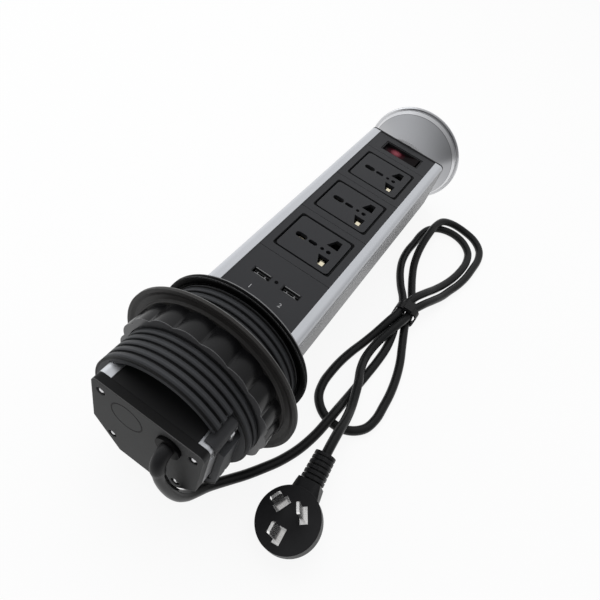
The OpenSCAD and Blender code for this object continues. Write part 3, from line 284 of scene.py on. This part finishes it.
def finish_of(name, colour, rough, metal=0.0, grain=2500, tone=0.12, rough_var=0.08, bump=0.1, depth=0.00002,
              blotch=60, blotch_tone=0.08, edge=None, edge_r=0.0004, specular=0.5, side=None, ridges=None,
              spots=(), bands=(), **sockets):
    """Grain, blotches and softened edges over one base colour. Edges take the colour edge, if given: painted
    edge highlights, partly wear.
    """
    material = bpy.data.materials.new(name)
    material.use_nodes = True
    t = material.node_tree
    shader = t.nodes["Principled BSDF"].inputs
    place = node(t, "ShaderNodeTexCoord").outputs["Object"]
    height = vector_calc(t, "DOT_PRODUCT", place, UP)
    scale = grain if isinstance(grain, tuple) else (grain,) * 3
    mapped = node(t, "ShaderNodeMapping", in_Vector=place, in_Rotation=(TILT, 0, 0), in_Scale=scale)
    fine = node(t, "ShaderNodeTexNoise", in_Vector=mapped.outputs["Vector"], in_Scale=1.0, in_Detail=3.0,
                in_Roughness=0.6).outputs["Fac"]
    patches = node(t, "ShaderNodeTexNoise", in_Vector=place, in_Scale=float(blotch), in_Detail=2.0,
                   in_Roughness=0.5).outputs["Fac"]
    soft = node(t, "ShaderNodeBevel", samples=6, in_Radius=edge_r).outputs["Normal"]

    top = blend(t, fine, rgba(colour, 1 - tone), rgba(colour, 1 + tone))
    shade = ramp(t, patches, in_To_Min=1 - blotch_tone, in_To_Max=1 + blotch_tone)
    top = blend(t, 1.0, top, shade, "MULTIPLY")
    if edge:
        top = edge_highlight_and_wear(t, top, soft, patches, edge)
    bare = metal
    if side:
        share = turned_faces(t, height, side)
        top = blend(t, share, top, rgba(side.colour))
        if metal:
            bare = calc(t, "SUBTRACT", metal, share)
    for spot in spots:
        top = spotted(t, top, place, spot)
    for band in bands:
        top = banded(t, top, height, band)
    normal = soft
    if ridges:
        top, normal = ridged(t, top, normal, place, height, ridges)
    relief = node(t, "ShaderNodeBump", in_Strength=bump, in_Distance=depth, in_Height=fine, in_Normal=normal)

    feed(t, shader["Base Color"], top)
    feed(t, shader["Roughness"], ramp(t, fine, in_To_Min=max(rough - rough_var, 0.02),
                                      in_To_Max=min(rough + rough_var, 1.0)))
    feed(t, shader["Normal"], relief.outputs["Normal"])
    feed(t, shader["Metallic"], bare)
    shader["Specular IOR Level"].default_value = specular
    for key, value in sockets.items():
        shader[key.replace("_", " ")].default_value = value
    return material


# Metals
# The rail's side walls and back take a darker, non-metal grey: painted shade of the walls
rail = finish_of("anodised_rail", (0.67, 0.685, 0.715), 0.36, metal=1.0, grain=(3000, 18, 3000), tone=0.05,
                 rough_var=0.06, bump=0.12, blotch=25, blotch_tone=0.03, specular=0.1,
                 edge=(0.85, 0.86, 0.88), edge_r=0.0005, side=Side(OUT, 0.75, 0.25, (0.32, 0.32, 0.325)))
# Painted highlights on the cap: pale bands round the rim with a painted shade line below them, and a pale
# matte grey on faces turned toward the foot below height 232
cap_painted_light_bands = (Band(260.0, 266.0, (0.62, 0.625, 0.64)), Band(257.4, 259.9, (0.72, 0.725, 0.74)),
             Band(257.0, 257.4, (0.2, 0.2, 0.21)))
spun = finish_of("spun_cap", (0.41, 0.415, 0.43), 0.3, metal=1.0, grain=(12, 3000, 12), tone=0.05,
                 rough_var=0.05, bump=0.08, blotch=20, blotch_tone=0.04, specular=0.1, edge=(0.8, 0.8, 0.82),
                 side=Side(-UP, 0.9, 0.97, (0.85, 0.85, 0.87), below=232.0), bands=cap_painted_light_bands)
steel = finish_of("bright_steel", (0.68, 0.68, 0.69), 0.28, metal=1.0, grain=(1500, 6000, 1500), tone=0.06,
                  edge=(0.85, 0.85, 0.85), edge_r=0.0001)
brass = finish_of("brass_contact", (1.0, 0.87, 0.66), 0.35, metal=1.0, grain=(1200, 5000, 1200), tone=0.1)
shell = finish_of("dark_shell", (0.055, 0.055, 0.057), 0.45, metal=1.0, grain=(1500, 6000, 1500), tone=0.1)
nickel = finish_of("nickel_blade", (0.92, 0.91, 0.90), 0.26, metal=1.0, grain=(2500, 2500, 400), tone=0.02,
                   bump=0.015, edge=(0.9, 0.9, 0.88), edge_r=0.0002)

# Panel and foot
# The panel from height -66 to -40 is painted near black: painted shade below the collar
panel = finish_of("charcoal_panel", (0.025, 0.0255, 0.028), 0.5, specular=0.25, grain=3500, tone=0.18,
                  bump=0.25, depth=0.00003, edge=(0.07, 0.07, 0.075), edge_r=0.0003,
                  bands=(Band(-66.0, -40.0, (0.006, 0.006, 0.0065)),))
plate = finish_of("black_plate", (0.011, 0.011, 0.012), 0.5, specular=0.2, grain=3000, bump=0.15)
# The foot's top side is painted near black as painted shade, and a thin pale band just above its end face is
# a painted highlight line
foot = finish_of("grey_foot", (0.045, 0.0455, 0.0455), 0.65, specular=0.2, grain=2600, tone=0.2, bump=0.35,
                 depth=0.00004, edge=(0.3, 0.3, 0.3), edge_r=0.0005,
                 side=Side(OUT, 0.5, 0.9, (0.006, 0.006, 0.0062)),
                 bands=(Band(-69.95, -69.5, (0.08, 0.08, 0.08)),))
ink = finish_of("pale_ink", (0.45, 0.45, 0.46), 0.6, grain=4000, tone=0.1)

# Rocker, with a painted red glow and a painted pink highlight left of its middle
GLOW_LEFT, GLOW_OUT, GLOW_UP = 4.5, 4, 1.5
rocker_points = [v.co for v in nodes["rocker"].data.vertices]
rocker_mid = Vector([middle(q[k] for q in rocker_points) for k in range(3)])
painted_glow_at = rocker_mid - GLOW_LEFT * MM * RIGHT + GLOW_OUT * MM * OUT
painted_glow_spots = (Spot(painted_glow_at, 0.004, 0.0085, (0.035, 0.004, 0.008)),
              Spot(painted_glow_at + GLOW_UP * MM * UP, 0.0018, 0.0052, (0.24, 0.06, 0.078)))
red = finish_of("red_rocker", (0.004, 0.0024, 0.0028), 0.3, specular=0.02, grain=900, tone=0.1,
                rough_var=0.04, bump=0.04, spots=painted_glow_spots)

# Receptacles
tongue = finish_of("usb_tongue", (0.012, 0.012, 0.0125), 0.45, grain=2000, tone=0.05)
contact = finish_of("port_rim", (0.15, 0.15, 0.153), 0.45, grain=2000, tone=0.05)
lens = finish_of("lamp_lens", (0.004, 0.004, 0.0042), 0.35, specular=0.3, IOR=1.12, grain=1500, tone=0.08,
                 bump=0.05)

# Inner pieces
board = finish_of("green_board", (0.02, 0.14, 0.05), 0.35, grain=500, tone=0.25)
coil = finish_of("dark_coil", (0.05, 0.05, 0.055), 0.4, grain=(300, 2500, 300), tone=0.3, bump=0.3)
ivory = finish_of("ivory_block", (0.6, 0.55, 0.42), 0.45, grain=1800, tone=0.06)
brown = finish_of("brown_wire", (0.12, 0.05, 0.02), 0.45, grain=(1800, 300, 1800), tone=0.1)
blue = finish_of("blue_wire", (0.05, 0.12, 0.35), 0.45, grain=(1800, 300, 1800), tone=0.1)
green = finish_of("green_wire", (0.2, 0.4, 0.05), 0.45, grain=(1800, 300, 1800), tone=0.1)

# Collar
# The thin pale band on the nut from height -35.8 to -35.35 is a painted highlight line
collar = finish_of("black_collar", (0.004, 0.004, 0.0045), 0.24, specular=0.35, grain=1800, tone=0.15,
                   rough_var=0.07, bump=0.12, blotch=45, blotch_tone=0.12,
                   edge=(0.16, 0.16, 0.165), edge_r=0.0005,
                   bands=(Band(-35.8, -35.35, (0.09, 0.09, 0.093)),))
# The thin pale band on the washer from height -20.4 to -19.9 is a painted highlight line along its upper
# edge
washer = finish_of("grey_washer", (0.024, 0.0225, 0.0215), 0.5, specular=0.25, grain=1500, tone=0.15,
                   bump=0.2, edge=(0.11, 0.11, 0.107), edge_r=0.0006,
                   bands=(Band(-20.4, -19.9, (0.14, 0.14, 0.138)),))
thread = finish_of("black_thread", (0.044, 0.0455, 0.049), 0.55, specular=0.2, grain=1500, tone=0.18,
                   bump=0.3, depth=0.00004, blotch=45, blotch_tone=0.12, edge=(0.1, 0.1, 0.105),
                   ridges=Ridges(-7.8875, 4.375 * MM, 0.66 * MM, 41.2 * MM))
# The grey band from height 2.2 to 3.965 and the pale edges are painted highlights along the bezel's rounded
# upper edge
flange = finish_of("black_flange", (0.0012, 0.0012, 0.0013), 0.45, specular=0.1, IOR=1.25, grain=1800,
                   tone=0.15, rough_var=0.06, blotch=40, blotch_tone=0.1, edge=(0.5, 0.5, 0.51),
                   edge_r=0.0005, bands=(Band(2.2, 3.965, (0.17, 0.17, 0.173)),))
smooth = finish_of("smooth_sleeve", (0.030, 0.0305, 0.033), 0.5, specular=0.25, grain=1500, tone=0.18,
                   bump=0.25, edge=(0.12, 0.12, 0.125), edge_r=0.0003)

# Cord and plug
rubber = finish_of("black_cord", (0.012, 0.0123, 0.0125), 0.3, specular=0.4, IOR=1.33, grain=1400, tone=0.15,
                   bump=0.18, depth=0.00003)
mould = finish_of("black_moulding", (0.013, 0.013, 0.014), 0.42, specular=0.35, IOR=1.33, grain=2200,
                  tone=0.15, bump=0.2, edge=(0.05, 0.05, 0.05), edge_r=0.0005)
tie = finish_of("black_tie", (0.009, 0.009, 0.0095), 0.4, specular=0.3, bump=0.15)


def dress(material, *names):
    for name in names:
        o = nodes[name]
        o.data.materials.clear()
        o.data.materials.append(material)


dress(rail, "tower_shell")
dress(spun, "cap")
dress(panel, "switch_plate", "socket_plate_1", "socket_plate_2", "socket_plate_3", "usb_plate",
      "socket_insert_1", "socket_insert_2", "socket_insert_3")
dress(plate, "top_plate", "switch_body")
dress(foot, "foot_cap", "knockout_disc")
dress(red, "rocker")
dress(steel, "cap_screws", "top_screws", "foot_screws", "leaf_root", "detent_leaf", "leaf_rivet")
dress(brass, "live_busbar", "neutral_busbar", "earth_busbar")
dress(shell, "usb_shells")
dress(tongue, "usb_tongues")
dress(lens, "indicator_lens", "cord_gland")
dress(board, "charger_board")
dress(coil, "charger_coil")
dress(ivory, "terminal_block")
dress(brown, "live_wire")
dress(blue, "neutral_wire")
dress(green, "earth_wire")
dress(flange, "bezel")
dress(thread, "threaded_sleeve")
dress(collar, "clamp_nut")
dress(washer, "clamp_washer")
dress(mould, "strain_relief", "plug_body", "plug_boot")
dress(tie, "cable_tie")
dress(nickel, "plug_pins", "plug_earth_pin")
cord_curve.materials.append(rubber)

# Port numbers on the panel
PANEL_FRONT = -25.0
PORTS = (("1", -10.1), ("2", 10.1))
NUMBER_SIZE, NUMBER_H, NUMBER_RISE, NUMBER_T = 4.2, 24.1, 0.02, 0.01
for digit, x in PORTS:
    text = bpy.data.curves.new("port_number_" + digit, "FONT")
    text.body = digit
    text.size = NUMBER_SIZE * MM
    text.align_x = "CENTER"
    text.align_y = "CENTER"
    text.extrude = NUMBER_T * MM
    o = link_in("port_number_" + digit, text)
    o.matrix_world = Matrix.Translation(at(x, PANEL_FRONT - NUMBER_RISE, NUMBER_H)) @ turn_to(RIGHT, UP, OUT)
    text.materials.append(ink)
    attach(o, "tower")


def add_piece(name, points, faces, material, body, slot_name):
    mesh = bpy.data.meshes.new(name)
    mesh.from_pydata(points, [], faces)
    mesh.materials.append(material)
    o = link_in(name, mesh)
    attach(o, body)
    return o


def ring_faces(count):
    """Faces of a closed ring with four points at each step."""
    return [(4 * k + i, 4 * k + (i + 1) % 4, 4 * ((k + 1) % count) + (i + 1) % 4, 4 * ((k + 1) % count) + i)
            for k in range(count) for i in range(4)]


def bars(boxes):
    """Points and faces of boxes, each given as x, y and h from and to."""
    points, faces = [], []
    for x0, x1, y0, y1, h0, h1 in boxes:
        b = len(points)
        points += [at(x, y, h) for h in (h0, h1) for x, y in ((x0, y0), (x1, y0), (x1, y1), (x0, y1))]
        faces += [(b, b + 3, b + 2, b + 1), (b + 4, b + 5, b + 6, b + 7)]
        faces += [(b + k, b + (k + 1) % 4, b + 4 + (k + 1) % 4, b + 4 + k) for k in range(4)]
    return points, faces


# Groove around the blank in the foot plate
FOOT_BASE = min(levels("foot_cap"))
BLANK_X, BLANK_Y = -11.4, -10.3
GROOVE_IN, GROOVE_OUT, GROOVE_RISE, GROOVE_STEPS = 8.8, 9.7, 0.05, 72
section = ((GROOVE_IN, -GROOVE_RISE), (GROOVE_OUT, -GROOVE_RISE), (GROOVE_OUT, GROOVE_RISE),
           (GROOVE_IN, GROOVE_RISE))
points = []
for k in range(GROOVE_STEPS):
    for r, rise in section:
        x, y = circle(r, 360 / GROOVE_STEPS * k)
        points.append(at(BLANK_X + x, BLANK_Y + y, FOOT_BASE + rise))
add_piece("blank_groove", points, ring_faces(GROOVE_STEPS), lens, "tower", "grey_foot")

# Lip of the collar around the tower's corner, in the slot
CORNER_X, CORNER_Y, CORNER_R = 29.0, -21.9, 3.5
LIP_START_X, LIP_END_Y = 26.4, -18.5
LIP_GAP, LIP_REACH, LIP_LEVELS = 0.45, 1.2, (-62.8, -45.2)


def around_corner(gap):
    r = CORNER_R + gap
    arc = [circle(r, a) for a in range(-90, 1, 10)]
    return ([(LIP_START_X, CORNER_Y - r)] + [(CORNER_X + x, CORNER_Y + y) for x, y in arc]
            + [(CORNER_X + r, LIP_END_Y)])


inner, outer = around_corner(LIP_GAP), around_corner(LIP_REACH)
n = len(inner)
points = [at(x, y, h) for h in LIP_LEVELS for x, y in inner + outer]
faces = []
for k in range(n - 1):
    faces += [(k, k + 1, n + k + 1, n + k), (2 * n + k, 3 * n + k, 3 * n + k + 1, 2 * n + k + 1),
              (n + k, n + k + 1, 3 * n + k + 1, 3 * n + k), (k, 2 * n + k, 2 * n + k + 1, k + 1)]
faces += [(0, n, 3 * n, 2 * n), (n - 1, 3 * n - 1, 4 * n - 1, 2 * n - 1)]
add_piece("slot_lip", points, faces, smooth, "collar", "black_collar")

# Crowned heads of the four screws in the foot plate
HEAD_INSET, HEAD_SLACK, CROWN_R, CROWN_H = 1.2, 0.1, 1.8, 1.1
HEAD_LEVEL = FOOT_BASE + HEAD_INSET
CROWN_SIDES, CROWN_RINGS, CROWN_TIP_R, SCREW_SPLIT_Y = 24, 3, 0.02, -10
screw_points = [(v.co - at(0, 0, 0)) / MM for v in nodes["foot_screws"].data.vertices]
heads = [(q.x, -q.dot(OUT)) for q in screw_points if q.dot(UP) < HEAD_LEVEL + HEAD_SLACK]


def crown(x, y, b):
    """Points and faces of one dome, for points that begin at number b."""
    points, faces = [], []
    for ring in range(CROWN_RINGS + 1):
        wide, rise = circle(1, 90 / CROWN_RINGS * ring)
        for k in range(CROWN_SIDES):
            dx, dy = circle(max(CROWN_R * wide, CROWN_TIP_R), 360 / CROWN_SIDES * k)
            points.append(at(x + dx, y + dy, HEAD_LEVEL - CROWN_H * rise))
    for ring in range(CROWN_RINGS):
        low, high = b + CROWN_SIDES * ring, b + CROWN_SIDES * (ring + 1)
        for k in range(CROWN_SIDES):
            after = (k + 1) % CROWN_SIDES
            faces.append((low + k, high + k, high + after, low + after))
    tip = b + CROWN_SIDES * CROWN_RINGS
    faces.append(tuple(tip + k for k in reversed(range(CROWN_SIDES))))
    return points, faces


points, faces = [], []
for sign in (-1, 1):
    for back in (False, True):
        head = [q for q in heads if q[0] * sign > 0 and (q[1] > SCREW_SPLIT_Y) == back]
        more = crown(middle(q[0] for q in head), middle(q[1] for q in head), len(points))
        points += more[0]
        faces += more[1]
crowns = add_piece("screw_crowns", points, faces, steel, "tower", "bright_steel")
for face in crowns.data.polygons:
    face.use_smooth = True

# Rims and tabs of the two receptacles
RIM_FRONT, TAB_FRONT, RIM_BACK = -24.97, -24.95, -24.4
UPPER_LEVELS, LOWER_LEVELS, TAB_LEVELS = (37.8, 38.4), (33.95, 34.4), (34.4, 35.6)
UPPER_HALF, LOWER_LEFT, LOWER_RIGHT = 5.2, 4.0, 4.1
TAB_PLACES, TAB_HALF = (-2.2, 2.9), 0.35
for digit, x in PORTS:
    rims = [(x - UPPER_HALF, x + UPPER_HALF, RIM_FRONT, RIM_BACK, *UPPER_LEVELS),
            (x - LOWER_LEFT, x + LOWER_RIGHT, RIM_FRONT, RIM_BACK, *LOWER_LEVELS)]
    for tab in TAB_PLACES:
        rims.append((x + tab - TAB_HALF, x + tab + TAB_HALF, TAB_FRONT, RIM_BACK, *TAB_LEVELS))
    add_piece("port_rim_" + digit, *bars(rims), contact, "tower", "bright_steel")

# Folded lips of the neutral contacts, at the outer end of the tapered holes
OUTLETS = ("1", "2", "3")
FOLD_DEPTH, FOLD_T, ARM_INSET, LEAF_DEPTH = 0.9, 0.5, 0.3, 3.45
FOLD_LEFT, FOLD_RIGHT, ARM_RIGHT = 9.9, 12.9, 11.5
FOLD_LOW, FOLD_HIGH, ARM_LOW, ARM_HIGH = 12.6, 8.6, 9.4, 8.7
for digit in OUTLETS:
    mid = middle(levels("socket_insert_" + digit))
    front, leaf = PANEL_FRONT + FOLD_DEPTH, PANEL_FRONT + LEAF_DEPTH
    lips = [(FOLD_LEFT, FOLD_RIGHT, front, front + FOLD_T, mid - FOLD_LOW, mid - FOLD_HIGH),
            (FOLD_LEFT, ARM_RIGHT, front + ARM_INSET, leaf, mid - ARM_LOW, mid - ARM_HIGH)]
    add_piece("contact_lip_" + digit, *bars(lips), brass, "tower", "brass_contact")

# Dark gap round each outlet face, widened at the top and the sides as painted shade of a recessed face
GAP_W, GAP_H, GAP_CORNER = 39.4, 36.0, 3.7
SIDE_ADD, TOP_ADD, BOTTOM_ADD, OUTER_CORNER, GAP_RISE = 0.4, 0.5, 0.05, 1.8, 0.02
CORNER_STEPS = 6


def rounded(x0, x1, h0, h1, r):
    """Outline of a rectangle with round corners."""
    corners = ((x1 - r, h1 - r, 0), (x0 + r, h1 - r, 90), (x0 + r, h0 + r, 180), (x1 - r, h0 + r, 270))
    out = []
    for x, h, start in corners:
        arc = [circle(r, start + 90 / CORNER_STEPS * k) for k in range(CORNER_STEPS + 1)]
        out += [(x + dx, h + dh) for dx, dh in arc]
    return out


for digit in OUTLETS:
    mid = middle(levels("socket_insert_" + digit))
    left, right, low, high = -GAP_W / 2, GAP_W / 2, mid - GAP_H / 2, mid + GAP_H / 2
    inside = rounded(left, right, low, high, GAP_CORNER)
    outside = rounded(left - SIDE_ADD, right + SIDE_ADD, low - BOTTOM_ADD, high + TOP_ADD, OUTER_CORNER)
    points = []
    for a, b in zip(inside, outside):
        for (x, h), way in ((a, 1), (b, 1), (b, -1), (a, -1)):
            points.append(at(x, PANEL_FRONT + way * GAP_RISE, h))
    add_piece("outlet_gap_and_shade_" + digit, points, ring_faces(len(inside)), lens, "tower", "black_plate")

# Floor, which shows itself near white to the camera and in reflections
FLOOR_HALF, FLOOR_Z, FLOOR_GREY, GLOW_SHARE = 25.0, -0.0003, 0.9, 0.9
floor_mesh = bpy.data.meshes.new("floor")
signs = ((-1, -1), (1, -1), (1, 1), (-1, 1))
floor_corners = [(x * FLOOR_HALF, y * FLOOR_HALF, FLOOR_Z) for x, y in signs]
floor_mesh.from_pydata(floor_corners, [], [(0, 1, 2, 3)])
floor = link_in("floor", floor_mesh)
floor_material = bpy.data.materials.new("floor")
floor_material.use_nodes = True
ft = floor_material.node_tree
ft.nodes.clear()
diffuse = node(ft, "ShaderNodeBsdfDiffuse", in_Color=(FLOOR_GREY, FLOOR_GREY, FLOOR_GREY, 1))
glow = node(ft, "ShaderNodeEmission")
path = node(ft, "ShaderNodeLightPath").outputs
seen = calc(ft, "ADD", path["Is Camera Ray"], path["Is Glossy Ray"])
seen = calc(ft, "ADD", seen, path["Is Transmission Ray"], clamp=True)
both = node(ft, "ShaderNodeMixShader", in_Fac=calc(ft, "MULTIPLY", seen, GLOW_SHARE))
ft.links.new(diffuse.outputs["BSDF"], both.inputs[1])
ft.links.new(glow.outputs["Emission"], both.inputs[2])
node(ft, "ShaderNodeOutputMaterial", in_Surface=both.outputs["Shader"])
floor_mesh.materials.append(floor_material)

# Pale room, whose brightness falls from the left and the far end to the right and the near end
ROOM_SLOPE, ROOM_LEVEL, ROOM_LEAST = (-0.30, 0.25, 0.05), 0.55, 0.2
world = bpy.data.worlds.new("room")
scene.world = world
world.use_nodes = True
wt = world.node_tree
wt.nodes.clear()
slope = vector_calc(wt, "DOT_PRODUCT", node(wt, "ShaderNodeTexCoord").outputs["Generated"], ROOM_SLOPE)
strength = calc(wt, "MAXIMUM", calc(wt, "ADD", slope, ROOM_LEVEL), ROOM_LEAST)
room = node(wt, "ShaderNodeBackground", in_Color=(0.985, 0.99, 1.0, 1), in_Strength=strength)
node(wt, "ShaderNodeOutputWorld", in_Surface=room.outputs["Background"])


# Lamps
def soft_box(name, place, aim, size, watts, colour=(1, 1, 1), glossy=True):
    data = bpy.data.lights.new(name, "AREA")
    data.shape = "RECTANGLE"
    data.size, data.size_y = size
    data.energy = watts
    data.color = colour
    o = link_in(name, data)
    o.location = place
    o.visible_glossy = glossy
    o.rotation_euler = (Vector(aim) - Vector(place)).to_track_quat("-Z", "Y").to_euler()


soft_box("key", place=(-0.25, 0.15, 0.95), aim=(0.02, 0, 0.04), size=(0.7, 0.7), watts=4.0, glossy=False)
soft_box("left", place=(-0.85, -0.1, 0.45), aim=(0.0, 0, 0.05), size=(0.3, 0.9), watts=1.2,
         colour=(0.96, 0.98, 1))

scene.view_settings.view_transform = "Standard"

bpy.context.view_layer.update()
